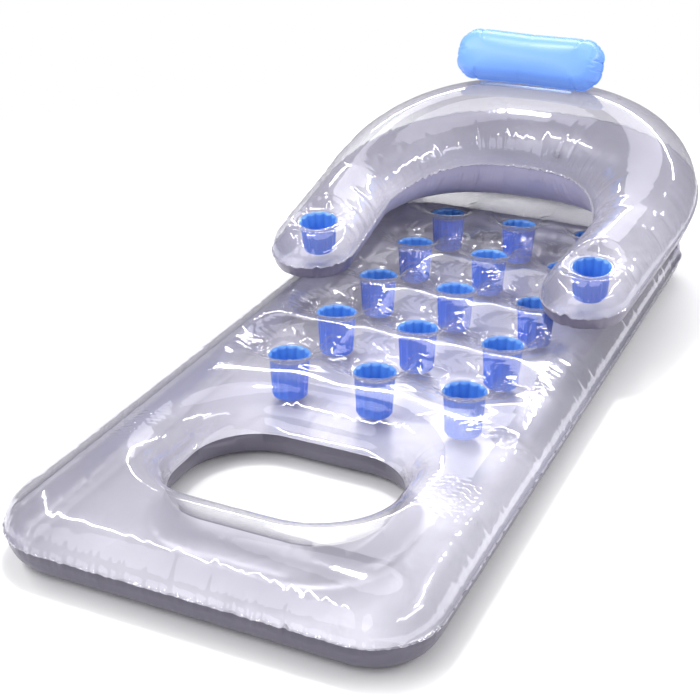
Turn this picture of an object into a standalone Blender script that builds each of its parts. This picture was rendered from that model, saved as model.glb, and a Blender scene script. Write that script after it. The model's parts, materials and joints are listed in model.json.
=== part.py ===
# Inflatable pool lounge: a pocketed mattress, a raised U-shaped rest for arms and back, and a pillow.
# Every air chamber is two thin films welded at their edges. Metres, +Z up, the foot end at -Y,
# the origin on the floor under the middle of the whole lounge.

import bmesh
import bpy
import numpy as np
from math import atan, cos, pi, radians, sin, sqrt
from mathutils import Vector
from mathutils.geometry import delaunay_2d_cdt

# Films and welds
film = 0.0003              # gauge of the chambers' film
cup_wall = 0.0005          # gauge of the formed cups
gap = 0.0003               # left between pieces that are welded or rest on each other
lip = 0.003                # width of the trimmed weld outside each seam

# Mattress
mattress_width = 0.662     # across the seam
mattress_length = 1.54
mattress_corner = 0.10
mattress_seam = 0.050      # height of the seam above the floor
mattress_crest = 0.118     # height of the highest lines of the mattress
edge_roll = 0.10           # from the seam in to the crest, along the sides and the foot
head_roll = 0.05           # the same at the head end
head_blend = 0.14          # length over which the roll changes
floor_roll = 0.035         # from the seam in to where the lower film lies flat

# Leg opening
opening_width = 0.352
opening_length = 0.267
opening_corner_share = 0.41     # of its length
opening_place = 0.304      # from the foot end to its middle
opening_roll = 0.060       # from its seam out to the crest round it
opening_floor_roll = 0.035

# Pockets
pocket_columns = 3
pocket_rows = 5
pocket_side_margin = 0.172      # from the side seam to the outer columns' middles
pocket_foot_margin = 0.1925     # from the leg opening's seam to the first row's middles
pocket_head_margin = 0.154      # from the last row's middles to the head seam
pocket_sink = 0.028        # rims below the crest
pocket_lift = 0.012        # floors above the ground
pocket_mouth = 0.071       # diameter
pocket_taper = 0.0045      # how much the walls draw in, to each side
pocket_dip = 0.075         # from the weld ring out to where the film is at its crest again
cup_flange = 0.006         # flat ring welded to the film
flute_depth = 0.0012

# Rest for arms and back, measured in the plane of its seam
rest_tilt = radians(8.1)
rest_length = 0.593        # from the middle of the arm tips to the mattress's head seam, along the floor
rest_lift = 0.035          # of the seam over the mattress's crest, at the arm tips' middle
arm_inset = 0.045          # from the mattress's side seam in to the arm's centre line
arm_toe = 0.020            # how much the arm tips draw in
arm_length = 0.224
arch_length = 0.365        # from the arms' end to the top of the arch
arch_power = 2.35
arm_half_width = 0.079
arch_half_width = 0.140
arm_half_height = 0.065
arch_half_height = 0.121

# Cup holders in the arms
holder_place = 0.023       # from the arm tips' middle, along the seam plane
holder_rim = 0.0455        # above the seam plane
holder_depth = 0.060
holder_dip = 0.030         # from the weld ring out to the arm's full height

# Pillow
pillow_width = 0.314
pillow_height = 0.104
pillow_corner_share = 0.48      # of its height
pillow_roll_share = 0.46        # of its height
pillow_half_depth = 0.042
pillow_lean = radians(66)  # up from lying flat to the back
pillow_shift = -0.040      # its middle, to the side of the lounge's middle
web_setback = 0.020        # from the arch's highest line to the web's foot, towards the foot end
web_height = 0.0055
web_width = 0.20
fold_gap = 0.0006          # from the web's edge to the pillow's weld

# Valves, each in its own frame with +Z out of the chamber
neck_outer = 0.0060        # radius
neck_wall = 0.0020
neck_above = 0.0042        # stands above the film when pushed in
neck_travel = 0.010
slide_gap = 0.0006         # round the sliding neck
flange_width = 0.0049
flange_height = 0.0008
flange_cover = 0.0006      # the flange's bore inside the hole in the film
land_margin = 0.0010       # flat film round the flange
collar_catch = 0.0013      # the collar beyond the hole in the film
collar_height = 0.0012
stopper_rim = 0.0005       # the cap beyond the neck
stopper_height = 0.0011
plug_gap = 0.0004
plug_taper = 0.0005
plug_length = 0.0030
strap_width = 0.0034
strap_length = 0.0020
lug_height = 0.0016
lug_tail = 0.0010
flap_lap = 0.0010          # the flap beyond the neck's bore
flap_height = 0.0004
mattress_valve_side = 0.20
mattress_valve_inset = 0.0015   # from the head seam to the flat patch
arch_valve_share = 0.72    # of the arch's half width, to the back of its lowest line
pillow_valve_side = -0.085

# Counts of points round the shapes
corner_steps = 3
long_steps = 10
short_steps = 4
opening_steps = 4
opening_across_steps = 2
opening_along_steps = 1
pillow_steps = 4
pillow_along_steps = 1
web_points = 7
mouth_points = 10
weld_points = 8
cup_points = 20
turn_points = 12
arm_stations = 4
arch_stations = 18
cap_points = 5
path_samples = 600
point_spacing = 0.008      # least distance from a loose point to a hole's ring

# Rings of points that carry a rolled edge, as shares of its width from the seam
roll_shares = (0.08, 0.36, 1.0)
floor_shares = (0.1, 0.4, 1.0)
opening_shares = (0.12, 0.5, 1.0)
pillow_shares = (0.12, 0.5, 1.0)

# Rings of points round the rest, as shares of its half width from its centre line
rest_shares = (0.94, 0.7, 0.36)
seam_share = 0.002         # of the half width, in which a point counts as on the seam

# Sizes that follow from those above
opening_corner = opening_corner_share * opening_length
column_pitch = (mattress_width - 2 * pocket_side_margin) / (pocket_columns - 1)
first_row = opening_place + opening_length / 2 + pocket_foot_margin
row_pitch = (mattress_length - pocket_head_margin - first_row) / (pocket_rows - 1)
pocket_rim = mattress_crest - pocket_sink
weld_ring = pocket_mouth / 2 + cup_flange
rest_start = mattress_length - rest_length
rest_rise = mattress_crest + rest_lift
rest_reach = arm_length + arch_length
arm_spread = mattress_width / 2 - arm_inset
holder_inset = arm_spread - arm_toe
pillow_corner = pillow_corner_share * pillow_height
pillow_roll = pillow_roll_share * pillow_height
pillow_middle = fold_gap + lip + pillow_height / 2
flange_bore = neck_outer + slide_gap
valve_hole = flange_bore + flange_cover
flange_outer = flange_bore + flange_width
valve_land = flange_outer + land_margin
neck_bore = neck_outer - neck_wall
collar_outer = valve_hole + collar_catch
stopper_radius = neck_outer + stopper_rim
plug_top = neck_bore - plug_gap
strap_reach = stopper_radius + strap_length
flap_radius = neck_bore + flap_lap
lounge_back = rest_start + (rest_reach + arch_half_width + lip) * cos(rest_tilt)
lounge_middle = (lounge_back - lip) / 2


def clear_scene():
    for item in list(bpy.data.objects):
        bpy.data.objects.remove(item, do_unlink=True)


def finish(name, colour, roughness, alpha):
    material = bpy.data.materials.new(name)
    material.use_nodes = True
    shader = material.node_tree.nodes["Principled BSDF"]
    shader.inputs["Base Color"].default_value = (*colour, 1.0)
    shader.inputs["Roughness"].default_value = roughness
    shader.inputs["Metallic"].default_value = 0.0
    shader.inputs["Alpha"].default_value = alpha
    return material


def place(item, parent, material):
    bpy.context.scene.collection.objects.link(item)
    item.parent = parent
    if material:
        item.data.materials.append(material)
    return item


# An empty that carries pieces, turned about X
def carrier(name, parent, location, turn=0.0):
    empty = bpy.data.objects.new(name, None)
    empty.location = location
    empty.rotation_euler = (turn, 0, 0)
    return place(empty, parent, None)


# Rise of a rolled edge, a quarter ellipse from 0 at the seam to 1
def roll(distance, width):
    share = np.clip(distance / width, 0.0, 1.0)
    return np.sqrt(1 - (1 - share) ** 2)


def smooth(share):
    share = np.clip(share, 0.0, 1.0)
    return share * share * (3 - 2 * share)


# A rounded rectangle about (0, middle), anticlockwise, with its outward normals
def rounded_ring(half_x, half_y, corner, middle, steps, across, along):
    points, normals = [], []
    corners = ((1, 1), (-1, 1), (-1, -1), (1, -1))
    centres = [Vector((x * (half_x - corner), middle + y * (half_y - corner))) for x, y in corners]
    for turn, centre in enumerate(centres):
        for step in range(steps + 1):
            angle = (turn + step / steps) * pi / 2
            normals.append(Vector((cos(angle), sin(angle))))
            points.append(centre + corner * normals[-1])
        end = centres[(turn + 1) % len(centres)] + corner * normals[-1]
        start = points[-1]
        run = along if turn % 2 else across
        for step in range(1, run):
            points.append(start.lerp(end, step / run))
            normals.append(normals[-1])
    return np.array(points), np.array(normals)


# Distance out from a rounded rectangle about the origin, negative inside it
def rounded_distance(x, y, half_x, half_y, corner):
    out_x = np.abs(x) - (half_x - corner)
    out_y = np.abs(y) - (half_y - corner)
    outside = np.hypot(np.maximum(out_x, 0), np.maximum(out_y, 0))
    return outside + np.minimum(np.maximum(out_x, out_y), 0) - corner


def circle(centre, radius, count, squash=1.0):
    angles = np.arange(count) * 2 * pi / count
    return np.array(centre) + radius * np.stack([np.cos(angles), squash * np.sin(angles)], 1)


# Which points lie inside a closed ring, by counting the edges to their right
def inside(points, ring):
    x, y = points[:, :1], points[:, 1:]
    start, end = ring, np.roll(ring, -1, axis=0)
    spans = (start[:, 1] > y) != (end[:, 1] > y)
    rise = np.where(end[:, 1] == start[:, 1], 1.0, end[:, 1] - start[:, 1])
    crossing = start[:, 0] + (y - start[:, 1]) / rise * (end[:, 0] - start[:, 0])
    return (spans & (x < crossing)).sum(1) % 2 == 1


# The points outside all the rings, with a clearance to their corners
def clear_of(points, rings, clearance):
    kept = np.array(points)
    for ring in rings:
        away = np.hypot(*(kept[:, None] - ring[None]).transpose(2, 0, 1)).min(1)
        kept = kept[(away > clearance) & ~inside(kept, ring)]
    return kept


# A film cut to the first ring and holed, at height(x, y), with its gauge laid inwards.
# Its outer face looks up where side is 1, and down where it is -1.
def film_piece(name, rings, holes, points, height, side, parent, material):
    spots, edges = [], []
    for ring in rings + holes:
        first, count = len(spots), len(ring)
        spots += [Vector(p) for p in ring]
        edges += [(first + i, first + (i + 1) % count) for i in range(count)]
    spots += [Vector(p) for p in points]
    flat, _, faces, *_ = delaunay_2d_cdt(spots, edges, [], 0, film / 10)
    flat = np.array([tuple(p) for p in flat])
    faces = np.array([tuple(face) for face in faces])
    middles = flat[faces].mean(1)
    kept = inside(middles, rings[0])
    for hole in holes:
        kept &= ~inside(middles, hole)
    faces = faces[kept][:, ::side]
    level = side * height(flat[:, 0], flat[:, 1])
    mesh = bpy.data.meshes.new(name)
    mesh.from_pydata(np.column_stack([flat, level]).tolist(), [], faces.tolist())
    work = bmesh.new()
    work.from_mesh(mesh)
    loose = [vert for vert in work.verts if not vert.link_faces]
    bmesh.ops.delete(work, geom=loose, context="VERTS")
    work.to_mesh(mesh)
    work.free()
    mesh.shade_smooth()
    item = place(bpy.data.objects.new(name, mesh), parent, material)
    gauge = item.modifiers.new("gauge", "SOLIDIFY")
    gauge.thickness = film
    gauge.offset = -1
    return item


# A closed profile of (radius, height) points turned about Z, outer side from top to bottom
def turned(name, profile, parent, material):
    work = bmesh.new()
    verts = [work.verts.new((radius, 0, level)) for radius, level in profile]
    edges = [work.edges.new((verts[i - 1], verts[i])) for i in range(len(verts))]
    bmesh.ops.spin(work, geom=verts + edges, cent=(0, 0, 0), axis=(0, 0, 1), angle=2 * pi,
                   steps=turn_points, use_merge=True)
    bmesh.ops.remove_doubles(work, verts=work.verts, dist=film / 10)
    bmesh.ops.dissolve_degenerate(work, edges=work.edges, dist=film / 10)
    bmesh.ops.recalc_face_normals(work, faces=work.faces)
    return solid(name, work, parent, material)


def solid(name, work, parent, material):
    mesh = bpy.data.meshes.new(name)
    work.to_mesh(mesh)
    work.free()
    mesh.shade_smooth()
    mesh.set_sharp_from_angle(angle=pi / 4)
    return place(bpy.data.objects.new(name, mesh), parent, material)


# Adds a hidden shape to a piece
def unite(item, other):
    other.hide_render = True
    other.display_type = "WIRE"
    join = item.modifiers.new("join", "BOOLEAN")
    join.operation = "UNION"
    join.object = other


def block(name, low, high, parent):
    work = bmesh.new()
    bmesh.ops.create_cube(work, size=1)
    for vert in work.verts:
        for axis, (near, far) in enumerate(zip(low, high)):
            vert.co[axis] = far if vert.co[axis] > 0 else near
    return solid(name, work, parent, None)


# A flat patch for a valve in a film, falling with a slope towards +y
def patched(height, centre, level, slope):
    steep = sqrt(1 + slope ** 2)
    reach = valve_land * (1 + film / valve_land)

    def shaped(x, y):
        away = np.hypot(x - centre[0], (y - centre[1]) * steep)
        return np.where(away < reach, level - slope * (y - centre[1]), height(x, y))
    return shaped


# Rings of a valve's flat patch and of the hole in it
def patch_rings(centre, slope):
    squash = 1 / sqrt(1 + slope ** 2)
    return [circle(centre, radius, turn_points, squash) for radius in (valve_land, valve_hole)]


# Height over the seam plane of a film's outer face, at a height of its chamber
def over_seam(height):
    return gap / 2 + film + height


# Mattress

def edge_distance(x, y):
    half = mattress_length / 2
    return -rounded_distance(x, y - half, mattress_width / 2, half, mattress_corner)


def opening_distance(x, y):
    return rounded_distance(x, y - opening_place, opening_width / 2, opening_length / 2, opening_corner)


# The roll is tighter at the head end
def roll_width(y):
    start = mattress_length - head_roll - head_blend
    return edge_roll + (head_roll - edge_roll) * smooth((y - start) / head_blend)


def pocket_places():
    for row in range(pocket_rows):
        for column in range(pocket_columns):
            x = (column - (pocket_columns - 1) / 2) * column_pitch
            yield row, column, x, first_row + row * row_pitch


# Tops of the domes and saddles between the pockets, on a grid of half pitches
def dome_points():
    points = []
    for row in range(2 * pocket_rows + 1):
        for column in range(2 * pocket_columns + 1):
            if row % 2 == 0 or column % 2 == 0:
                points.append(((column - pocket_columns) * column_pitch / 2,
                               first_row + (row - 1) * row_pitch / 2))
    points = np.array(points)
    return points[edge_distance(*points.T) > roll_width(points[:, 1])]


# Height of the upper film: rolled edges, and a dip to each pocket's rim
def mattress_top(x, y):
    bulge = np.ones_like(x)
    for _, _, at_x, at_y in pocket_places():
        bulge *= roll(np.hypot(x - at_x, y - at_y) - weld_ring - film, pocket_dip)
    crown = pocket_rim + (mattress_crest - pocket_rim) * bulge
    rise = roll(edge_distance(x, y), roll_width(y)) * roll(opening_distance(x, y), opening_roll)
    seam = over_seam(mattress_seam)
    return seam + (crown - seam) * rise


# Depth of the lower film, which lies flat on the floor inside its rolled edges
def mattress_bottom(x, y):
    fall = roll(edge_distance(x, y), floor_roll) * roll(opening_distance(x, y), opening_floor_roll)
    return (over_seam(0) - mattress_seam) * (1 - fall)


# Place, height and slope of the valve's flat patch on the head end's rolled edge
def mattress_valve_patch():
    rise = mattress_crest - mattress_seam
    inset = mattress_valve_inset
    for _ in range(path_samples):
        share = 1 - inset / head_roll
        slope = rise / head_roll * share / sqrt(1 - share ** 2)
        inset = mattress_valve_inset + valve_land / sqrt(1 + slope ** 2)
    level = mattress_seam + rise * sqrt(1 - share ** 2)
    return (mattress_valve_side, mattress_length - inset), level, slope


def make_mattress(root, looks):
    half = mattress_length / 2
    seam, out = rounded_ring(mattress_width / 2, half, mattress_corner, half,
                             corner_steps, short_steps, long_steps)
    hole, away = rounded_ring(opening_width / 2, opening_length / 2, opening_corner, opening_place,
                              opening_steps, opening_across_steps, opening_along_steps)
    trimmed, hole_trimmed = seam + lip * out, hole - lip * away
    mouths = [circle((x, y), pocket_mouth / 2, mouth_points) for _, _, x, y in pocket_places()]
    welds = [circle((x, y), weld_ring, weld_points) for _, _, x, y in pocket_places()]
    centre, level, slope = mattress_valve_patch()
    patch, valve_mouth = patch_rings(centre, slope)

    rolled = [seam - share * roll_width(seam[:, 1:]) * out for share in roll_shares]
    rolled += [hole + share * opening_roll * away for share in opening_shares]
    loose = clear_of(np.vstack(rolled + [dome_points()]), welds + [patch], point_spacing)
    film_piece("mattress_top_film", [trimmed, seam, hole, patch] + welds,
               [hole_trimmed, valve_mouth] + mouths, loose,
               patched(mattress_top, centre, level, slope), 1, root, looks["clear_film"])

    rolled = [seam - share * floor_roll * out for share in floor_shares]
    rolled += [hole + share * opening_floor_roll * away for share in floor_shares]
    rolled += [[(x, y)] for _, _, x, y in pocket_places()]
    film_piece("mattress_bottom_film", [trimmed, seam, hole], [hole_trimmed],
               np.vstack(rolled), mattress_bottom, -1, root, looks["under_film"])

    top = pocket_rim - film - gap
    sides = ("left", "middle", "right")
    for row, column, x, y in pocket_places():
        name = "pocket_cup_%d_%s" % (row + 1, sides[column])
        make_cup(name, top - pocket_lift, (x, y, top), root, looks["blue_film"])
    seat = carrier("mattress_valve_seat", root, (*centre, level), -atan(slope))
    make_valve("mattress", seat, looks["valve_plastic"])


# A formed cup with a flat weld ring, fluted walls and a flat floor
def make_cup(name, depth, location, parent, material):
    angles = np.arange(cup_points) * 2 * pi / cup_points
    around = np.stack([np.cos(angles), np.sin(angles)], 1)
    flutes = flute_depth * (np.arange(cup_points)[:, None] % 2)
    mouth = pocket_mouth / 2
    rings = ((weld_ring, 0), (mouth, 0), (mouth - pocket_taper - flutes, cup_wall - depth))
    verts = np.vstack([np.column_stack([radius * around, np.full(cup_points, level)])
                       for radius, level in rings] + [(0, 0, cup_wall - depth)])
    faces = []
    for start in range(0, cup_points * (len(rings) - 1), cup_points):
        for i in range(cup_points):
            j = (i + 1) % cup_points
            faces.append((start + i, start + j, start + cup_points + j, start + cup_points + i))
    last = cup_points * (len(rings) - 1)
    faces += [(last + i, last + (i + 1) % cup_points, len(verts) - 1) for i in range(cup_points)]
    mesh = bpy.data.meshes.new(name)
    mesh.from_pydata(verts.tolist(), [], faces)
    mesh.shade_smooth()
    mesh.set_sharp_from_angle(angle=pi / 4)
    item = place(bpy.data.objects.new(name, mesh), parent, material)
    item.location = location
    gauge = item.modifiers.new("gauge", "SOLIDIFY")
    gauge.thickness = cup_wall
    gauge.offset = -1
    return item


# Rest for arms and back

# Centre line from the left arm tip over the arch to the right one. The arch is half a superellipse.
def rest_path(arm_samples, arch_samples):
    angles = np.linspace(pi / 2, 0, arch_samples // 2 + 1)
    arch_x = -arm_spread * np.sin(angles) ** (2 / arch_power)
    arch_y = arm_length + arch_length * np.cos(angles) ** (2 / arch_power)
    share = np.arange(arm_samples) / arm_samples
    arm_x = -arm_spread + arm_toe * (1 - share)
    left = np.column_stack([np.r_[arm_x, arch_x], np.r_[share * arm_length, arch_y]])
    return np.vstack([left, left[-2::-1] * (-1, 1)])


# The tube swells over the arch, from the arms' section to the one at its top
def swell(y, arm_size, arch_size):
    share = np.clip((y - arm_length) / arch_length, 0, 1) ** (arch_power / 2)
    return arm_size + (arch_size - arm_size) * share


# Closed ring at a share of the tube's half width, with round ends at the arm tips
def rest_ring(path, share, extra=0.0):
    run = np.gradient(path, axis=0)
    run /= np.hypot(*run.T)[:, None]
    side = np.column_stack([-run[:, 1], run[:, 0]])
    reach = (swell(path[:, 1], arm_half_width, arch_half_width) * share + extra)[:, None]
    angles = (np.arange(cap_points)[:, None] + 1) * pi / (cap_points + 1)
    right_cap = path[-1] + reach[-1] * (np.cos(angles) * side[-1] + np.sin(angles) * run[-1])
    left_cap = path[0] - reach[0] * (np.cos(angles) * side[0] + np.sin(angles) * run[0])
    return np.vstack([path + reach * side, right_cap, (path - reach * side)[::-1], left_cap])


# Half height of the tube over a point of the seam plane, from the nearest point of its path
def rest_crown(x, y):
    path = rest_path(path_samples // 4, path_samples)
    nearest = np.hypot(x[:, None] - path[:, 0], y[:, None] - path[:, 1]).argmin(1)
    near_x, near_y = path[nearest].T
    share = np.hypot(x - near_x, y - near_y) / swell(near_y, arm_half_width, arch_half_width)
    return swell(near_y, arm_half_height, arch_half_height) * roll(1 - share - seam_share, 1)


# Height of the upper film, flattened to the cup holders' rims
def rest_top(x, y):
    crown = rest_crown(x, y)
    for side in (-1, 1):
        away = np.hypot(x - side * holder_inset, y - holder_place) - weld_ring - film
        crown = np.minimum(crown, holder_rim + (crown - holder_rim) * smooth(away / holder_dip))
    return over_seam(crown)


# Depth of the lower film, which lies flat on the mattress where it reaches it
def rest_bottom(x, y):
    seat = (rest_rise - mattress_crest - gap + y * sin(rest_tilt)) / cos(rest_tilt)
    return np.minimum(over_seam(rest_crown(x, y)), seat)


def make_rest(root, looks):
    seat = carrier("rest_seam", root, (0, rest_start, rest_rise), rest_tilt)
    path = rest_path(arm_stations, arch_stations)
    seam, trimmed = rest_ring(path, 1), rest_ring(path, 1, lip)
    places = [(side * holder_inset, holder_place) for side in (-1, 1)]
    mouths = [circle(spot, pocket_mouth / 2, mouth_points) for spot in places]
    welds = [circle(spot, weld_ring, mouth_points) for spot in places]

    centre = (0, rest_reach + arch_valve_share * arch_half_width)
    share = sqrt(1 - arch_valve_share ** 2)
    level = over_seam(arch_half_height * share)
    slope = arch_half_height / arch_half_width * arch_valve_share / share
    patch, valve_mouth = patch_rings(centre, slope)

    foot_x = pillow_shift + web_width * (np.arange(web_points) / (web_points - 1) - 1 / 2)
    foot = np.column_stack([foot_x, np.full(web_points, rest_reach - web_setback)])
    rings = [rest_ring(path, share) for share in rest_shares]
    loose = clear_of(np.vstack(rings + [path]), welds + [foot], point_spacing)
    film_piece("rest_top_film", [trimmed, seam] + welds, mouths, np.vstack([loose, foot]),
               rest_top, 1, seat, looks["clear_film"])
    film_piece("rest_bottom_film", [trimmed, seam, patch], [valve_mouth],
               clear_of(np.vstack(rings + [path]), [patch], point_spacing),
               patched(rest_bottom, centre, level, slope), -1, seat, looks["under_film"])
    for (x, y), word in zip(places, ("left", "right")):
        spot = (x, y, over_seam(holder_rim) - film - gap)
        make_cup("cup_holder_" + word, holder_depth, spot, seat, looks["blue_film"])
    valve_seat = carrier("rest_valve_seat", seat, (*centre, -level), atan(slope) - pi)
    make_valve("rest", valve_seat, looks["valve_plastic"])
    return foot


# Pillow

# Half depth over a point of the pillow's seam plane
def pillow_side(x, y):
    out = -rounded_distance(x, y - pillow_middle, pillow_width / 2, pillow_height / 2, pillow_corner)
    return over_seam(pillow_half_depth * roll(out, pillow_roll))


# The web stands on the arch, and the pillow folds about the web's upper edge
def make_pillow(root, foot, looks):
    level = rest_top(*foot.T) + gap
    along, up = np.array([0, cos(rest_tilt), sin(rest_tilt)]), np.array([0, -sin(rest_tilt), cos(rest_tilt)])
    base = np.outer(foot[:, 0], (1, 0, 0)) + np.outer(foot[:, 1], along) + np.outer(level, up)
    base += (0, rest_start, rest_rise)
    fold = base[level.argmax()] + np.array([0, cos(pillow_lean), sin(pillow_lean)]) * web_height
    edge = np.column_stack([foot[:, 0], np.tile(fold[1:], (web_points, 1))])
    mesh = bpy.data.meshes.new("pillow_web")
    faces = [(i, i + 1, web_points + i + 1, web_points + i) for i in range(web_points - 1)]
    mesh.from_pydata(np.vstack([base, edge]).tolist(), [], faces)
    web = place(bpy.data.objects.new("pillow_web", mesh), root, looks["pillow_film"])
    gauge = web.modifiers.new("gauge", "SOLIDIFY")
    gauge.thickness = film
    gauge.offset = 0

    hinge = carrier("pillow_hinge", root, (pillow_shift, *fold[1:]), pillow_lean)
    seam, out = rounded_ring(pillow_width / 2, pillow_height / 2, pillow_corner, pillow_middle,
                             pillow_steps, short_steps, pillow_along_steps)
    trimmed = seam + lip * out
    rolled = np.vstack([seam - share * pillow_roll * out for share in pillow_shares])
    centre = (pillow_valve_side, pillow_middle)
    level = over_seam(pillow_half_depth)
    patch, valve_mouth = patch_rings(centre, 0)
    film_piece("pillow_front_film", [trimmed, seam], [], rolled, pillow_side, 1, hinge,
               looks["pillow_film"])
    film_piece("pillow_back_film", [trimmed, seam, patch], [valve_mouth],
               clear_of(rolled, [patch], point_spacing), patched(pillow_side, centre, level, 0),
               -1, hinge, looks["pillow_film"])
    make_valve("pillow", carrier("pillow_valve_seat", hinge, (*centre, -level), pi), looks["valve_plastic"])


# Valves

# Push-in valve: a welded flange, a sliding neck, a stopper on its strap and a check flap
def make_valve(chamber, seat, plastic):
    low = -(film + gap + collar_height + neck_travel)
    flange_top = gap + flange_height
    turned(chamber + "_valve_flange",
           ((flange_outer, gap + flange_height / 2), (flange_outer, gap), (flange_bore, gap),
            (flange_bore, flange_top), (flange_outer - flange_height, flange_top)), seat, plastic)
    neck = turned(chamber + "_valve_neck",
                  ((neck_outer, neck_above), (neck_outer, low + collar_height),
                   (collar_outer, low + collar_height), (collar_outer, low),
                   (neck_bore, low), (neck_bore, neck_above)), seat, plastic)
    unite(neck, block(chamber + "_lug", (-strap_reach - lug_tail, -strap_width / 2, neck_above - lug_height),
                      (neck_wall / 2 - neck_outer, strap_width / 2, neck_above), seat))

    hinge_level = neck_above + gap + stopper_height / 2
    hinge = carrier(chamber + "_stopper_hinge", seat, (-strap_reach, 0, hinge_level))
    stopper = make_stopper(chamber + "_valve_stopper", hinge, plastic)
    tip = plug_top - plug_taper
    plug = turned(chamber + "_plug", ((0, 0), (plug_top, 0), (tip, -stopper_height / 2 - plug_length),
                                      (0, -stopper_height / 2 - plug_length)), hinge, None)
    plug.location = (strap_reach, 0, 0)
    unite(stopper, plug)

    flap_hinge = carrier(chamber + "_flap_hinge", seat, (-flap_radius, 0, low - gap - flap_height / 2))
    flap = turned(chamber + "_valve_flap", ((0, flap_height / 2), (flap_radius, flap_height / 2),
                                            (flap_radius, -flap_height / 2), (0, -flap_height / 2)),
                  flap_hinge, plastic)
    flap.location = (flap_radius, 0, 0)


# A round cap with a strap to the hinge line, where its outline begins and ends
def make_stopper(name, hinge, material):
    half = strap_width / 2
    start = np.arcsin(half / stopper_radius)
    angles = np.linspace(start - pi, pi - start, turn_points + 1)
    outline = [(strap_reach + stopper_radius * cos(a), stopper_radius * sin(a)) for a in angles]
    outline += [(0, half), (0, -half)]
    work = bmesh.new()
    base = work.faces.new([work.verts.new((x, y, -stopper_height / 2)) for x, y in outline])
    raised = bmesh.ops.extrude_face_region(work, geom=[base])
    moved = [part for part in raised["geom"] if isinstance(part, bmesh.types.BMVert)]
    bmesh.ops.translate(work, vec=(0, 0, stopper_height), verts=moved)
    bmesh.ops.recalc_face_normals(work, faces=work.faces)
    return solid(name, work, hinge, material)


def main():
    clear_scene()
    looks = {"clear_film": finish("clear_film", (0.80, 0.78, 0.86), 0.12, 0.45),
             "under_film": finish("under_film", (0.36, 0.33, 0.44), 0.20, 0.85),
             "blue_film": finish("blue_film", (0.14, 0.34, 0.92), 0.18, 0.80),
             "pillow_film": finish("pillow_film", (0.42, 0.65, 0.98), 0.15, 0.85),
             "valve_plastic": finish("valve_plastic", (0.86, 0.88, 0.93), 0.25, 0.80)}
    root = carrier("lounge", None, (0, -lounge_middle, 0))
    make_mattress(root, looks)
    foot = make_rest(root, looks)
    make_pillow(root, foot, looks)


main()
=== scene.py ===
import json
from math import cos, pi, radians, sin

import bmesh
import bpy
import numpy as np
from mathutils import Matrix, Vector


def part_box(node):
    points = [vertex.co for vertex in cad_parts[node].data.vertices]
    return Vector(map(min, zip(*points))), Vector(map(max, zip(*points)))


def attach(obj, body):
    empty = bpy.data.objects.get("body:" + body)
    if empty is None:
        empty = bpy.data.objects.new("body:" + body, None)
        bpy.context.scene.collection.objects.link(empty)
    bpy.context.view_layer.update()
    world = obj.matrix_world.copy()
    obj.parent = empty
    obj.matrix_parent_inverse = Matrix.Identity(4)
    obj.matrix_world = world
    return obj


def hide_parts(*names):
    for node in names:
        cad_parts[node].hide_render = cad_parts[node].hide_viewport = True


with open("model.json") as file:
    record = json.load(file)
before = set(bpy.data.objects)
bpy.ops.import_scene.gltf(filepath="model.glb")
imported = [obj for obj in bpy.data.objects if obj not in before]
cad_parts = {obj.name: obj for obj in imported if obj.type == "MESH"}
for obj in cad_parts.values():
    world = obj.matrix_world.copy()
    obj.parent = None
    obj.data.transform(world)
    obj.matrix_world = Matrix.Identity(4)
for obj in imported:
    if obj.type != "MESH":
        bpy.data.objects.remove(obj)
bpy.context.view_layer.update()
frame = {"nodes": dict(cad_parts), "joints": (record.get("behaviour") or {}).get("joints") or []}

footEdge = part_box("mattress_bottom_film")[0].y      # the trimmed weld at the foot end


# Shapes that every piece uses

def rollUp(distance, width):
    # a quarter ellipse: 0 at the seam, 1 from the width inwards
    share = np.clip(distance / width, 0.0, 1.0)
    return np.sqrt(1 - (1 - share) ** 2)


def easeIn(share):
    # smooth step, 3 times the square less 2 times the cube
    share = np.clip(share, 0.0, 1.0)
    return share * share * (3 - 2 * share)


def gridLines(stops, counts):
    # evenly spaced lines from each stop to the next
    spans = [np.linspace(a, b, n, endpoint=False) for a, b, n in zip(stops, stops[1:], counts)]
    return np.r_[np.concatenate(spans), stops[-1]]


def roundCorners(x, y, halfX, halfY, corner):
    # each corner square becomes a quarter disc: one side times the root of 1 less half the other squared
    p = np.clip((np.abs(x) - halfX) / corner + 1, 0, None)
    q = np.clip((np.abs(y) - halfY) / corner + 1, 0, None)
    newX = np.where(p > 0, halfX - corner + corner * p * np.sqrt(np.clip(1 - q * q / 2, 0, 1)), np.abs(x))
    newY = np.where(q > 0, halfY - corner + corner * q * np.sqrt(np.clip(1 - p * p / 2, 0, 1)), np.abs(y))
    return np.copysign(newX, x), np.copysign(newY, y)


def outwardDistance(x, y, halfX, halfY, corner):
    # how far outside a rounded rectangle a point is, negative inside
    overX = np.abs(x) - (halfX - corner)
    overY = np.abs(y) - (halfY - corner)
    out = np.hypot(np.maximum(overX, 0), np.maximum(overY, 0))
    return out + np.minimum(np.maximum(overX, overY), 0) - corner


def roundPlace(x, y, halfX, halfY, corner):
    # share of the way round a rounded rectangle, anticlockwise from the middle of its +x side
    overX = np.abs(x) - (halfX - corner)
    overY = np.abs(y) - (halfY - corner)
    side = halfY - corner
    quarter = side + corner * pi / 2 + halfX - corner
    turn = np.arctan2(np.maximum(overY, 0), np.maximum(overX, 1e-9))
    onSide = overX > overY
    straight = np.where(onSide, np.minimum(np.abs(y), side), quarter - np.minimum(np.abs(x), halfX - corner))
    run = np.where((overX > 0) & (overY > 0), side + corner * turn, straight)
    others = np.where(x < 0, 2 * quarter - np.sign(y + 1e-12) * run, 4 * quarter - run)
    return np.where((x >= 0) & (y >= 0), run, others) / (4 * quarter)


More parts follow.
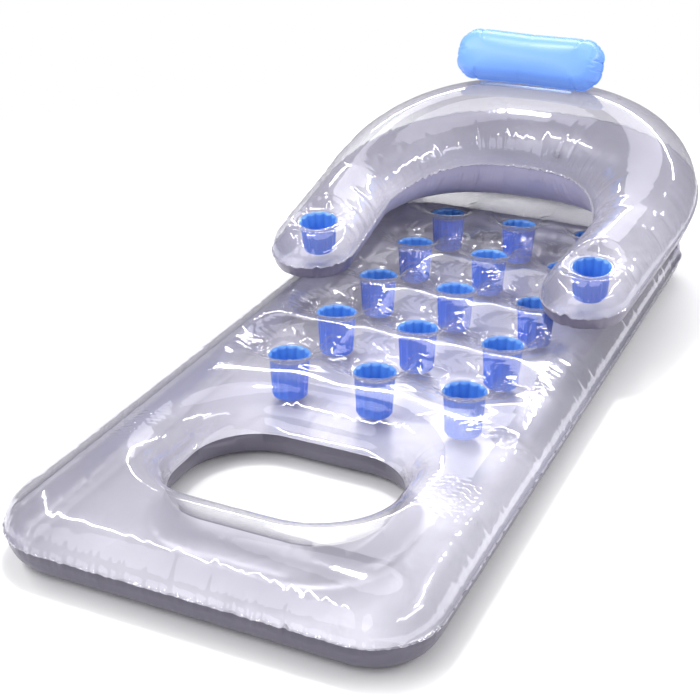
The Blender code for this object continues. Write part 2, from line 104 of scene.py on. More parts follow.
def swings(place, counts, seed):
    # sum of sines with whole numbers of turns round a closed seam, between -1 and 1
    rng = np.random.default_rng(seed)
    total = np.zeros_like(place)
    weights = rng.uniform(0.5, 1, len(counts))
    for count, weight, phase in zip(counts, weights, rng.uniform(0, 2 * pi, len(counts))):
        total += weight * np.sin(2 * pi * count * place + phase)
    return total / weights.sum()


def pinches(place, count, sharpness, seed):
    # narrow peaks from 0 to 1, unevenly spaced and of uneven height, along a closed seam
    drift = 1.1 * swings(place, (3, 5, 8, 13), seed)
    peak = (0.5 + 0.5 * np.cos(2 * pi * count * place + 4 * drift)) ** sharpness
    return peak * np.clip(0.45 + 0.75 * swings(place, (9, 16, 23, 31), seed + 1), 0, 1)


def raggedSeam(place, counts, height, notches, notchHeight, seed):
    # a weld line's uneven run, with a few narrow notches, along the share of the way round
    teeth = swings(place, counts, seed) * (0.55 + 0.45 * swings(place, (7, 11, 17), seed + 1))
    return height * teeth + notchHeight * pinches(place, notches, 26, seed + 2)


def wrinklePatch(x, y, patch):
    # ridges side by side, fading out from the middle of a patch: a cosine times two bell curves
    atX, atY, turn, wave, across, along, depth = patch
    s = (x - atX) * cos(turn) + (y - atY) * sin(turn)
    t = (y - atY) * cos(turn) - (x - atX) * sin(turn)
    bend = 0.35 * wave * np.sin(9 * t / along + 2.2 * s / across)
    return depth * np.cos(2 * pi * (s + bend) / wave) * np.exp(-(s / across) ** 4 - (t / along) ** 2)


def sampleGrid(grid, row, column):
    # straight blend between the four grid points round a fractional row and column
    r, c = np.floor(row).astype(int), np.floor(column).astype(int)
    r, c = np.minimum(r, grid.shape[0] - 2), np.minimum(c, grid.shape[1] - 2)
    v, u = row - r, column - c
    near = grid[r, c] * (1 - u) + grid[r, c + 1] * u
    far = grid[r + 1, c] * (1 - u) + grid[r + 1, c + 1] * u
    return near * (1 - v) + far * v


def openHole(x, y, removed, rows, columns, share, outline):
    # The square ring at a share of a block of the grid becomes the hole's outline, and the rings
    # outside it are straight blends between the outline and the block's border
    middle = (sum(rows) / 2, sum(columns) / 2)
    half = ((rows[1] - rows[0]) / 2, (columns[1] - columns[0]) / 2)
    r, c = np.meshgrid(np.arange(rows[0], rows[1] + 1), np.arange(columns[0], columns[1] + 1), indexing="ij")
    b, a = (r - middle[0]) / half[0], (c - middle[1]) / half[1]
    ring = np.maximum(np.maximum(np.abs(a), np.abs(b)), 1e-6)
    row, column = middle[0] + b / ring * half[0], middle[1] + a / ring * half[1]
    borderX, borderY = sampleGrid(x, row, column), sampleGrid(y, row, column)
    holeX, holeY = outline(borderX, borderY, a / ring, b / ring)
    blend = np.clip((ring - share) / (1 - share), 0, 1)
    block = (slice(rows[0], rows[1] + 1), slice(columns[0], columns[1] + 1))
    x[block] = holeX + (borderX - holeX) * blend
    y[block] = holeY + (borderY - holeY) * blend
    removed[block] |= ring < share + 1e-6


def outerLine(shape):
    # 1 on the outermost line of a grid and 0 within it
    line = np.ones(shape)
    line[1:-1, 1:-1] = 0
    return line


def roundHole(centre, radius):
    # outline of a round hole, each point in line with its point of the block's border
    def outline(x, y, a, b):
        away = np.maximum(np.hypot(x - centre[0], y - centre[1]), 1e-9)
        return centre[0] + radius * (x - centre[0]) / away, centre[1] + radius * (y - centre[1]) / away
    return outline


def surfaceMesh(name, x, y, z, removed=None, flip=False, closed=False, held=None):
    # a grid of points as quads, less those whose four corners are all removed
    rows, columns = x.shape
    points = np.stack([x, y, z], -1).reshape(-1, 3)
    index = np.arange(rows * columns).reshape(rows, columns)
    if closed:
        index = np.column_stack([index, index[:, :1]])
    quads = np.stack([index[:-1, :-1], index[:-1, 1:], index[1:, 1:], index[1:, :-1]], -1).reshape(-1, 4)
    if removed is not None:
        quads = quads[~removed.ravel()[quads].all(1)]
    if flip:
        quads = quads[:, ::-1]
    used, fresh = np.unique(quads, return_inverse=True)
    mesh = bpy.data.meshes.new(name)
    mesh.from_pydata(points[used].tolist(), [], fresh.reshape(-1, 4).tolist())
    if held is not None:
        kept = held.ravel()[used].astype(float)
        mesh.attributes.new("held", "FLOAT", "POINT").data.foreach_set("value", kept)
    work = bmesh.new()
    work.from_mesh(mesh)
    bmesh.ops.remove_doubles(work, verts=work.verts, dist=1e-6)
    work.to_mesh(mesh)
    work.free()
    mesh.shade_smooth()
    return mesh


def addObject(name, data):
    item = bpy.data.objects.new(name, data)
    bpy.context.scene.collection.objects.link(item)
    return item


def addPiece(mesh, coats, body, nodes):
    piece = addObject(mesh.name, mesh)
    for paint in coats:
        mesh.materials.append(paint)
    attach(piece, body)
    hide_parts(*nodes)
    return piece


def addGauge(piece, thickness):
    # the wall grows inwards, and its inner side takes the next paint
    wall = piece.modifiers.new("gauge", "SOLIDIFY")
    wall.thickness = thickness
    wall.offset = -1
    wall.material_offset = 1
    return piece


def blowUp(points, quads, held, settings):
    # Where the points of cloth end up under pressure, with those in held staying where they are. It's done
    # at ten times full size, because the solver is made for garments and larger things.
    scale = 10
    mesh = bpy.data.meshes.new("blown")
    mesh.from_pydata((points * scale).tolist(), [], [tuple(quad) for quad in quads])
    item = addObject("blown", mesh)
    cloth = item.modifiers.new("cloth", "CLOTH")
    if len(held):
        item.vertex_groups.new(name="held").add([int(i) for i in held], 1, "REPLACE")
        cloth.settings.vertex_group_mass = "held"
        cloth.settings.pin_stiffness = 50
    stiffness = settings["stiffness"]
    for key, value in {"quality": 5, "mass": 0.3, "air_damping": 3, "bending_stiffness": 0.1,
                       "tension_stiffness": stiffness, "compression_stiffness": stiffness,
                       "shear_stiffness": stiffness / 3, "shrink_min": -settings["growth"],
                       "use_pressure": True, "uniform_pressure_force": settings["pressure"]}.items():
        setattr(cloth.settings, key, value)
    cloth.settings.effector_weights.gravity = 0
    cloth.collision_settings.use_collision = False
    scene = bpy.context.scene
    cloth.point_cache.frame_start, cloth.point_cache.frame_end = 1, 1 + settings["frames"]
    for step in range(settings["frames"] + 1):
        scene.frame_set(1 + step)
    after = np.empty(len(points) * 3)
    item.evaluated_get(bpy.context.evaluated_depsgraph_get()).data.vertices.foreach_get("co", after)
    scene.frame_set(1)
    bpy.data.objects.remove(item, do_unlink=True)
    return after.reshape(-1, 3) / scale


def inflate(mesh, settings, calm=None, ceiling=None):
    # A film drawn in its full shape grows a little and is blown out, so it creases where it's held. Calm
    # gives the share of that move to keep at each point, and a ceiling keeps the film under what lies on it.
    held = np.empty(len(mesh.vertices))
    mesh.attributes["held"].data.foreach_get("value", held)
    mesh.attributes.remove(mesh.attributes["held"])
    points = np.empty(len(mesh.vertices) * 3)
    mesh.vertices.foreach_get("co", points)
    points = points.reshape(-1, 3)
    faces = [tuple(face.vertices) for face in mesh.polygons]
    moved = blowUp(points, faces, np.flatnonzero(held > 0.5), settings) - points
    # a few times each point takes its neighbours' average move, so nothing finer than a crease is left
    ends = np.empty(2 * len(mesh.edges), int)
    mesh.edges.foreach_get("vertices", ends)
    near, far = np.r_[ends[::2], ends[1::2]], np.r_[ends[1::2], ends[::2]]
    neighbours = np.maximum(np.bincount(near, minlength=len(points)), 1)
    for step in range(settings["smoothing"]):
        moved = np.stack([np.bincount(near, moved[far, k], len(points)) / neighbours for k in range(3)], -1)
        moved[held > 0.5] = 0
    if calm:
        moved *= calm(points)[:, None]
    blown = points + settings["take"] * moved
    if ceiling:
        blown[:, 2] = np.minimum(blown[:, 2], ceiling(points))
    mesh.vertices.foreach_set("co", blown.ravel())
    mesh.update()
    print(mesh.name, "moved by the simulation", np.linalg.norm(blown - points, axis=1).mean().round(4))


# Materials

class Wire:
    # a shader socket that takes part in sums as a number does
    def __init__(self, paint, socket):
        self.paint, self.socket = paint, socket

    def maths(self, operation, first, second=0.0):
        return self.paint.add("ShaderNodeMath", {"operation": operation}, {0: first, 1: second})

    def __add__(self, other):
        return self.maths("ADD", self, other)

    def __sub__(self, other):
        return self.maths("SUBTRACT", self, other)

    def __rsub__(self, other):
        return self.maths("SUBTRACT", other, self)

    def __mul__(self, other):
        return self.maths("MULTIPLY", self, other)

    def __truediv__(self, other):
        return self.maths("DIVIDE", self, other)

    def __pow__(self, other):
        return self.maths("POWER", self, other)

    __radd__ = __add__
    __rmul__ = __mul__

    def clipped(self, low, high):
        return self.maths("MAXIMUM", self.maths("MINIMUM", self, high), low)

    def size(self):
        return self.maths("ABSOLUTE", self)


class Paint:
    # a material; add makes any node from its type, its settings and its sockets
    def __init__(self, name, fixed):
        self.material = bpy.data.materials.new(name)
        self.material.use_nodes = True
        self.tree = self.material.node_tree
        self.shader = self.tree.nodes["Principled BSDF"]
        for name, value in fixed.items():
            self.show(name, value)

    def add(self, kind, settings, sockets, out=0):
        node = self.tree.nodes.new(kind)
        for key, value in settings.items():
            setattr(node, key, value)
        for key, value in sockets.items():
            self.feed(node.inputs[key], value)
        return Wire(self, node.outputs[out])

    def feed(self, socket, value):
        if isinstance(value, Wire):
            self.tree.links.new(value.socket, socket)
        else:
            socket.default_value = value

    def show(self, name, value):
        self.feed(self.shader.inputs[name], value)

    def place(self, scale=(1, 1, 1)):
        start = self.add("ShaderNodeTexCoord", {}, {}, "Object")
        return self.add("ShaderNodeMapping", {}, {"Vector": start, "Scale": scale})

    def coordinate(self, place, axis):
        return self.add("ShaderNodeSeparateXYZ", {}, {0: place}, axis)

    def along(self, place, axis, middle=0.0):
        # distance from a middle along one axis
        return (self.coordinate(place, axis) - middle).size()

    def band(self, place, axis, middle, start, width):
        # 0 up to a distance from a middle along an axis, rising to 1 over a width
        return ((self.along(place, axis, middle) - start) / width).clipped(0, 1)

    def oval(self, place, middle, halfX, halfY, width):
        # 1 inside an oval round (0, middle), fading to 0 over a width that is a share of its size
        across, up = self.along(place, "X") / halfX, self.along(place, "Y", middle) / halfY
        return (1 - ((across * across + up * up) ** 0.5 - 1) / width).clipped(0, 1)

    def noise(self, vector, scale, detail=2.0, roughness=0.5, distortion=0.0):
        return self.add("ShaderNodeTexNoise", {}, {"Vector": vector, "Scale": scale, "Detail": detail,
                                                   "Roughness": roughness, "Distortion": distortion})

    def blend(self, factor, first, second):
        # from the first colour at 0 to the second at 1
        ends = [c if isinstance(c, Wire) else (*c, 1) for c in (first, second)]
        return self.add("ShaderNodeMix", {"data_type": "RGBA"}, {0: factor, 6: ends[0], 7: ends[1]}, 2)

    def bump(self, height, strength, distance):
        normal = self.add("ShaderNodeBump", {}, {"Height": height, "Strength": strength, "Distance": distance})
        self.show("Normal", normal)


def cloudPaint(name, light, dark, roughness, metal, coat, size, ripple, inner=None):
    # Stretched vinyl: cloudy colour, a gloss that varies a little, and faint ripples, with the size that
    # of the clouds. It may change to another, lighter colour inside an oval: painted light.
    paint = Paint(name, {"Metallic": metal, "Coat Weight": coat, "Coat Roughness": 0.05})
    place = paint.place()
    cloud = paint.noise(place, size, 3)
    tint = paint.blend(cloud, dark, light)
    # painted light: inside the oval the colour blends to a lighter one
    if inner:
        *oval, other = inner
        tint = paint.blend(paint.oval(place, *oval), tint, other)
    paint.show("Base Color", tint)
    paint.show("Roughness", roughness + 0.12 * (paint.noise(place, 3 * size, 2) - 0.5))
    paint.bump(paint.noise(paint.place((1, 0.6, 1)), 2.2 * size, 3, 0.45, 0.6), ripple, 0.01)
    return paint.material


def clearPaint(name, colour, cover, rim, power, metal, roughness, ripple, size, bands=(), hole=None,
               shade=None):
    # Clear film shows by its cover everywhere and by its rim where it's seen edge on. Bands add cover
    # beyond a distance along an axis, a hole adds it inside an oval, and shade is a band of another colour:
    # painted shade.
    paint = Paint(name, {"Metallic": metal})
    edge = paint.add("ShaderNodeLayerWeight", {}, {"Blend": 0.5}, "Facing")
    place = paint.place()
    cloud = paint.noise(place, 11, 3)
    pale = tuple(0.88 * c for c in colour)
    tint = paint.blend(cloud, pale, colour)
    # painted shade: beyond a distance along an axis the colour turns to the shade colour
    if shade:
        *band, other = shade
        tint = paint.blend(paint.band(place, *band), tint, other)
    paint.show("Base Color", tint)
    shown = cover * (0.7 + 0.6 * cloud) + rim * edge ** power
    for *band, extra in bands:
        shown = shown + extra * paint.band(place, *band)
    if hole:
        *oval, extra = hole
        shown = shown + extra * paint.oval(place, *oval)
    paint.show("Alpha", shown.clipped(0.02, 0.95))
    paint.show("Roughness", roughness * (0.7 + 0.6 * paint.noise(place, 29, 2)))
    paint.bump(paint.noise(paint.place((1, 0.5, 1)), size, 3, 0.45, 0.6), ripple, 0.004)
    return paint.material


def pillowLitPaint(name, light, dark, centre, reach):
    # palest at a centre, bluer away from it by the square of the distance over the reach: painted light and
    # shade over the pillow's bulge, with a painted glow in the same colour
    # the emission strength gives a painted glow, though the pillow is no lamp
    paint = Paint(name, {"Roughness": 0.38, "Coat Weight": 0.08, "Coat Roughness": 0.2,
                         "Emission Strength": 0.17})
    place = paint.place()
    away = 0.12 * (paint.noise(place, 14, 2) - 0.5)
    # painted light and shade: the colour by the distance from the centre
    for axis, (middle, width) in zip("XZ", zip(centre, reach)):
        along = paint.coordinate(place, axis)
        away = away + ((along - middle) / width) * ((along - middle) / width)
    colour = paint.blend(away.clipped(0, 1), light, dark)
    paint.show("Base Color", colour)
    # painted glow: the pillow gives out its own colour
    paint.show("Emission Color", colour)
    paint.bump(paint.noise(place, 30, 3, 0.45, 0.6), 0.08, 0.004)
    return paint.material


sides = ("X", 0, 0.262, 0.05)                # bands: axis, middle, start and width
head = ("Y", -0.3, 0.92, 0.06)
legHole = (-0.533, 0.176, 0.1335, 0.30)      # ovals: middle on Y, half sizes and width as a share
# the arch's inner wall, where the rest's under film is painted lighter as painted light
litArchWall = (0.35, 0.20, 0.28, 0.30)
underGloss = {"roughness": 0.34, "metal": 0.1, "coat": 0.25, "size": 9, "ripple": 0.10}
paints = {
    # towards the head end the clear film turns darker and its inside a more lilac grey: painted shade where the
    # rest overhangs the mattress
    "clear": clearPaint("clearFilm", (0.78, 0.77, 0.84), cover=0.075, rim=0.80, power=3.3, metal=0.85,
                        roughness=0.065, ripple=0.05, size=34, bands=((*sides, 0.05), (*head, 0.05)),
                        hole=(*legHole, 0.06), shade=("Y", -0.3, 0.80, 0.06, (0.34, 0.33, 0.40))),
    "haze": clearPaint("clearFilmInside", (0.46, 0.45, 0.52), cover=0.05, rim=0.36, power=3.0, metal=0.35,
                       roughness=0.24, ripple=0.25, size=22, bands=((*sides, 0.42), (*head, 0.45)),
                       hole=(*legHole, 0.25), shade=("Y", -0.3, 0.86, 0.06, (0.42, 0.395, 0.55))),
    "restClear": clearPaint("restFilm", (0.64, 0.63, 0.71), cover=0.14, rim=0.62, power=3.2, metal=0.75,
                            roughness=0.060, ripple=0.05, size=30),
    "restHaze": clearPaint("restFilmInside", (0.53, 0.52, 0.61), cover=0.15, rim=0.30, power=2.2, metal=0.2,
                           roughness=0.30, ripple=0.20, size=20, bands=(("Y", -0.3, 0.93, 0.10, 0.40),)),
    "ring": clearPaint("weldRing", (0.85, 0.88, 0.97), cover=0.12, rim=0.45, power=2.5, metal=0.8,
                       roughness=0.10, ripple=0.10, size=40),
    "under": cloudPaint("underFilm", (0.150, 0.137, 0.187), (0.120, 0.109, 0.157), **underGloss),
    # the rest's under film: a lighter copy of the mattress's under paint, painted light on its shaded
    # underside, lighter still on the arch's inner wall
    "restUnderLit": cloudPaint("restUnderFilm", (0.20, 0.18, 0.25), (0.16, 0.145, 0.21), **underGloss,
                            inner=(*litArchWall, (0.60, 0.57, 0.71))),
    "inside": cloudPaint("underFilmInside", (0.66, 0.645, 0.72), (0.48, 0.465, 0.55), roughness=0.36,
                         metal=0.25, coat=0.0, size=7, ripple=0.40),
    "cup": cloudPaint("cupInside", (0.17, 0.40, 0.86), (0.05, 0.22, 0.74), roughness=0.20, metal=0.0,
                      coat=0.8, size=20, ripple=0.05),
    "cupBack": cloudPaint("cupOutside", (0.03, 0.23, 0.94), (0.03, 0.12, 0.88), roughness=0.36, metal=0.0,
                          coat=0.1, size=14, ripple=0.10),
    # the pillow's two colours by distance from its centre, and its glow, are painted light and shade
    "pillow": pillowLitPaint("pillowFilm", (0.165, 0.350, 0.88), (0.175, 0.370, 0.95), centre=(0.0, 0.418),
                          reach=(0.20, 0.075)),
    "web": clearPaint("pillowWeb", (0.45, 0.62, 0.98), cover=0.30, rim=0.20, power=2.0, metal=0.3,
                      roughness=0.20, ripple=0.10, size=30),
    "valve": clearPaint("valvePlastic", (0.70, 0.71, 0.78), cover=0.22, rim=0.30, power=2.0, metal=0.1,
                        roughness=0.28, ripple=0.03, size=20),
}
print("materials made")


# Mattress

mattress = {
    "width": 0.662, "length": 1.54, "corner": 0.10, "lip": 0.003, "gauge": 0.0003,
    "seamHeight": 0.050, "crest": 0.118, "edgeRoll": 0.10, "headRoll": 0.05, "headBlend": 0.14,
    "floorRoll": 0.035, "seamBand": 0.024,
    "opening": {"width": 0.352, "length": 0.267, "corner": 0.10947, "middle": 0.304,
                "roll": 0.060, "floorRoll": 0.035, "blockHalf": 0.2315},
    "pockets": {"columns": 3, "rows": 5, "pitchX": 0.159, "pitchY": 0.189, "firstRow": 0.630,
                "rimHeight": 0.090, "dip": 0.075},
    "steps": {"column": 48, "row": 51, "band": 20, "seam": 9, "foot": 16, "head": 12, "opening": 123},
    "puckers": {"count": 62, "depth": 0.0030, "reach": 0.022, "fineCount": 149, "fineDepth": 0.0012,
                "fineReach": 0.010, "seed": 11},
    "holePuckers": {"count": 23, "depth": 0.0012, "reach": 0.022, "fineCount": 61, "fineDepth": 0.00048,
                    "fineReach": 0.010, "seed": 21},
    "pocketPuckers": {"count": 16, "sharpness": 3, "depth": 0.0058, "reach": 0.011, "swirl": 0.020,
                      "swirlWave": 0.006, "seed": 40},
    "seam": {"counts": (103, 167, 229, 307, 389), "height": 0.0075, "notches": 47, "notchHeight": 0.0060,
             "seed": 31},
    "seamReach": {"top": 0.007, "under": 0.003}, "calmSides": 0.3,
    "cloth": {"pressure": 1.2, "stiffness": 100, "growth": 0.004, "frames": 8, "take": 0.8, "smoothing": 7},
    "calm": {"pocketsFrom": (0.52, 0.06), "pocketsIn": (0.045, 0.03), "seamTo": (0.018, 0.02), "least": 0.25},
    # x, y, turn from +x, wave length, half width, half length and height of each patch of wrinkles
    "wrinkles": ((0.266, 0.284, pi / 2, 0.0125, 0.046, 0.036, 0.0016),
                 (-0.246, 0.272, pi / 2, 0.0115, 0.066, 0.020, 0.0014),
                 (0.138, 0.465, radians(43), 0.0090, 0.030, 0.016, 0.0013),
                 (0.272, 0.645, pi / 2, 0.014, 0.026, 0.020, 0.0006),
                 (0.300, 0.475, pi / 2, 0.060, 0.018, 0.045, -0.0030),
                 (-0.262, 0.700, radians(70), 0.010, 0.030, 0.022, 0.0010)),
}


def mattressEdge(x, y):
    half = mattress["length"] / 2
    return -outwardDistance(x, y - half, mattress["width"] / 2, half, mattress["corner"])


def openingEdge(x, y):
    opening = mattress["opening"]
    halfX, halfY = opening["width"] / 2, opening["length"] / 2
    return outwardDistance(x, y - opening["middle"], halfX, halfY, opening["corner"])


def mattressRoll(y):
    # the roll is tighter at the head end
    start = mattress["length"] - mattress["headRoll"] - mattress["headBlend"]
    share = easeIn((y - start) / mattress["headBlend"])
    return mattress["edgeRoll"] + (mattress["headRoll"] - mattress["edgeRoll"]) * share


def pocketPlaces():
    pockets = mattress["pockets"]
    for row in range(pockets["rows"]):
        for column in range(pockets["columns"]):
            yield (row, column, (column - (pockets["columns"] - 1) / 2) * pockets["pitchX"],
                   pockets["firstRow"] + row * pockets["pitchY"])


def mattressGrid(withPockets):
    # Lines along the seam, the bands and the cells, with each hole opened in its block of cells,
    # the outer corners rounded, and one more line beyond the seam for the trimmed weld
    pockets, opening, steps = mattress["pockets"], mattress["opening"], mattress["steps"]
    halfX, halfY = mattress["width"] / 2, mattress["length"] / 2
    band = mattress["seamBand"]
    cellX = pockets["pitchX"] * pockets["columns"] / 2
    stopsX = [-halfX, band - halfX, *[cellX * s / 3 for s in (-3, -1, 1, 3)], halfX - band, halfX]
    countsX = [steps[k] for k in ("seam", "band", "column", "column", "column", "band", "seam")]
    openFrom, openTo = (opening["middle"] + s * opening["blockHalf"] for s in (-1, 1))
    rowsTo = [openTo + pockets["pitchY"] * (k + 1) for k in range(pockets["rows"])]
    stopsY = [0, band, openFrom, openTo, *rowsTo, 2 * halfY - band, 2 * halfY]
    countsY = [steps[k] for k in ("seam", "foot", "opening", *["row"] * pockets["rows"], "head", "seam")]
    x, y = (np.array(g) for g in np.meshgrid(gridLines(stopsX, countsX), gridLines(stopsY, countsY)))
    removed = np.zeros(x.shape, bool)
    left = steps["seam"] + steps["band"]
    low = steps["seam"] + steps["foot"]

    def openingOutline(borderX, borderY, a, b):
        wide, long = opening["width"] / 2 - mattress["lip"], opening["length"] / 2 - mattress["lip"]
        holeX, holeY = roundCorners(a * wide, b * long, wide, long, opening["corner"] - mattress["lip"])
        return holeX, holeY + opening["middle"]

    cells = (left, left + 3 * steps["column"])
    openHole(x, y, removed, (low, low + steps["opening"]), cells, 2 / 3, openingOutline)
    if withPockets:
        for row, column, atX, atY in pocketPlaces():
            r, c = low + steps["opening"] + row * steps["row"], left + column * steps["column"]
            openHole(x, y, removed, (r, r + steps["row"]), (c, c + steps["column"]), 1 / 3,
                     roundHole((atX, atY), cup["mouth"] / 2))
    x, y = roundCorners(x, y - halfY, halfX, halfY, mattress["corner"])
    rimX, rimY = np.pad(x, 1, mode="edge"), np.pad(y, 1, mode="edge")
    outX = np.maximum(np.abs(rimX) - (halfX - mattress["corner"]), 0)
    outY = np.maximum(np.abs(rimY) - (halfY - mattress["corner"]), 0)
    out = np.maximum(np.hypot(outX, outY), 1e-9)
    trim = outerLine(rimX.shape) * mattress["lip"]
    rimX += trim * outX / out * np.sign(rimX)
    rimY += trim * outY / out * np.sign(rimY)
    return rimX, rimY + halfY, np.pad(removed, 1)


def mattressSeamPlace(x, y):
    half = mattress["length"] / 2
    return roundPlace(x, y - half, mattress["width"] / 2, half, mattress["corner"])


def mattressRagged(x, y, edge, reach):
    # the weld runs unevenly at the foot and calmly along the sides and the head
    calm = mattress["calmSides"] + (1 - mattress["calmSides"]) * easeIn(1 - y / mattress["corner"])
    teeth = raggedSeam(mattressSeamPlace(x, y), **mattress["seam"])
    return calm * teeth * np.exp(-(edge / reach) ** 2)


def swell(distance, reach):
    # rises from 0 to 1 at the reach and dies out beyond it: a share times the exponential of 1 less the share
    return (distance / reach) * np.exp(1 - distance / reach)


def puckerDepth(place, inside, settings):
    # creases that start at the seam, deepest a little inside it, with finer and shorter ones between them
    inside = np.maximum(inside, 0)
    seed = settings["seed"]
    large = pinches(place, settings["count"], 7, seed) * swell(inside, settings["reach"] / 2.2)
    small = pinches(place, settings["fineCount"], 4, seed + 5) * swell(inside, settings["fineReach"])
    return settings["depth"] * large + settings["fineDepth"] * small


def mattressTop(x, y):
    # The seam's height plus what the rolls at the seams leave of the rest of the crown. The crown is the
    # crest, sunk to the rims by a quarter ellipse round every pocket. Puckers, teeth and wrinkles are added.
    pockets, opening, creases = mattress["pockets"], mattress["opening"], mattress["pocketPuckers"]
    bulge = np.ones_like(x)
    puckers = np.zeros_like(x)
    for row, column, atX, atY in pocketPlaces():
        away = np.hypot(x - atX, y - atY) - weldRadius
        bulge *= rollUp(away, pockets["dip"])
        near = np.clip(away, 0, None)
        turn = np.arctan2(y - atY, x - atX) / (2 * pi)
        turn += creases["swirl"] * np.sin(near / creases["swirlWave"] + row)
        pinched = pinches(turn, creases["count"], creases["sharpness"], creases["seed"] + 3 * row + column)
        puckers += pinched * creases["depth"] * swell(near, creases["reach"])
    crown = pockets["rimHeight"] + (mattress["crest"] - pockets["rimHeight"]) * bulge
    edge, hole = mattressEdge(x, y), openingEdge(x, y)
    rise = rollUp(edge, mattressRoll(y)) * rollUp(hole, opening["roll"])
    z = mattress["seamHeight"] + (crown - mattress["seamHeight"]) * rise
    z -= puckerDepth(mattressSeamPlace(x, y), edge, mattress["puckers"])
    z += mattressRagged(x, y, edge, mattress["seamReach"]["top"])
    for patch in mattress["wrinkles"]:
        z += wrinklePatch(x, y, patch)
    halfX, halfY = opening["width"] / 2, opening["length"] / 2
    around = roundPlace(x, y - opening["middle"], halfX, halfY, opening["corner"])
    z -= puckerDepth(around, hole, mattress["holePuckers"])
    return z - puckers


def mattressUnder(x, y):
    # the seam's height, rolled down to the floor by quarter ellipses at both seams, with the same puckers
    opening = mattress["opening"]
    edge, hole = mattressEdge(x, y), openingEdge(x, y)
    fall = rollUp(edge, mattress["floorRoll"]) * rollUp(hole, opening["floorRoll"])
    z = mattress["seamHeight"] * (1 - fall)
    dent = puckerDepth(mattressSeamPlace(x, y), edge, mattress["puckers"])
    z += mattressRagged(x, y, edge, mattress["seamReach"]["under"])
    return np.maximum(z + 0.5 * dent * (z > 0.004), 0.0)      # none where it lies on the floor


def mattressHeld(x, y):
    # the points on the welds
    held = (mattressEdge(x, y) < 0.0005) | (openingEdge(x, y) < 0.0005)
    for row, column, atX, atY in pocketPlaces():
        held |= np.hypot(x - atX, y - atY) < weldRadius
    return held


def mattressCalm(x, y):
    # full creases between the pockets and beside the seam, a quarter of them on the smooth rolled sides
    edge = mattressEdge(x, y)
    rise = {name: easeIn((value - mattress["calm"][name][0]) / mattress["calm"][name][1])
            for name, value in (("pocketsFrom", y), ("pocketsIn", edge), ("seamTo", edge))}
    creased = np.maximum(rise["pocketsFrom"] * rise["pocketsIn"], 1 - rise["seamTo"])
    return np.maximum(creased, mattress["calm"]["least"])


def addFilm(mesh, coats, node):
    # a film with its gauge: the first paint is on its face and the second inside
    film = addPiece(mesh, [paints[coat] for coat in coats], "lounge", [node])
    addGauge(film, mattress["gauge"])
    return film


def makeMattress():
    back = -footEdge - mattress["lip"]
    x, y, removed = mattressGrid(True)
    mesh = surfaceMesh("mattressTopFilm", x, y - back, mattressTop(x, y) + mattress["gauge"] + 0.0001, removed,
                       held=mattressHeld(x, y))
    inflate(mesh, mattress["cloth"], lambda points: mattressCalm(points[:, 0], points[:, 1] + back),
            lambda points: restFloor(points, back))
    top = addFilm(mesh, ("clear", "haze"), "mattress_top_film")
    x, y, removed = mattressGrid(False)
    mesh = surfaceMesh("mattressUnderFilm", x, y - back, mattressUnder(x, y), removed, flip=True)
    under = addFilm(mesh, ("under", "inside"), "mattress_bottom_film")
    print("mattress", len(top.data.polygons), len(under.data.polygons), "quads")


# Cups: fifteen pockets in the mattress and a holder in each arm

cup = {"mouth": 0.071, "flange": 0.006, "wall": 0.0005, "taper": 0.0045, "flutes": 13, "fluteDepth": 0.0038,
       "fluteStart": 0.004, "floorRound": 0.007, "around": 112, "rows": 26,
       "lip": ((0.0012, -0.0001), (0.0003, -0.0008)),    # how far outside the mouth, and height
       "floorRings": (0.66, 0.33, 0.02)}
weldRadius = cup["mouth"] / 2 + cup["flange"]


def cupMesh(name, depth, matrix):
    # Rings down a profile: flat weld ring, rounded lip, drawn-in wall, rounded foot and a flat floor.
    # Rounded columns stand inwards from the wall, as a share of a cosine round the mouth.
    mouth, foot = cup["mouth"] / 2, cup["mouth"] / 2 - cup["taper"]
    turn = np.linspace(0, 2 * pi, cup["around"], endpoint=False)
    down = np.linspace(0, 1, cup["rows"])
    wall = mouth + (foot - mouth) * down
    level = -(depth - cup["floorRound"]) * down
    bend = np.linspace(0, pi / 2, 7)[1:]
    lip, curve, rings = np.array(cup["lip"]), cup["floorRound"], np.array(cup["floorRings"])
    radius = np.r_[mouth + cup["flange"], mouth + 0.5 * cup["flange"], mouth + lip[:, 0], wall[1:],
                   foot - curve * (1 - np.cos(bend)), rings * foot]
    height = np.r_[0, 0, lip[:, 1], level[1:] + lip[-1, 1] * (1 - down[1:]),
                   -(depth - curve) - curve * np.sin(bend), 0 * rings - depth]
    fade = easeIn(-height / cup["fluteStart"]) * easeIn((height + depth) / (2.2 * curve))
    fade *= radius > 0.7 * foot
    column = np.abs(np.cos(cup["flutes"] * turn / 2)) ** 0.8
    ring = radius[:, None] - cup["fluteDepth"] * fade[:, None] * column
    local = np.stack([ring * np.cos(turn), ring * np.sin(turn), np.repeat(height[:, None], len(turn), 1),
                      np.ones(ring.shape)], -1)
    world = local @ np.array(matrix).T
    mesh = surfaceMesh(name, world[..., 0], world[..., 1], world[..., 2], closed=True)
    work = bmesh.new()
    work.from_mesh(mesh)
    border = [edge for edge in work.edges if edge.is_boundary and edge.calc_length() < 0.01 * foot]
    bmesh.ops.holes_fill(work, edges=border)      # the small hole in the middle of the floor
    work.to_mesh(mesh)
    work.free()
    paintOf = np.where(np.arange(len(mesh.polygons)) < 2 * len(turn), 2, 0)
    mesh.polygons.foreach_set("material_index", paintOf.tolist())
    mesh.shade_smooth()
    return mesh


def addCup(name, node, depth, matrix):
    # inside, outside, and the two outer rings of faces, which are the weld
    coats = [paints["cup"], paints["cupBack"], paints["ring"], paints["ring"]]
    addGauge(addPiece(cupMesh(name, depth, matrix), coats, "lounge", [node]), cup["wall"])


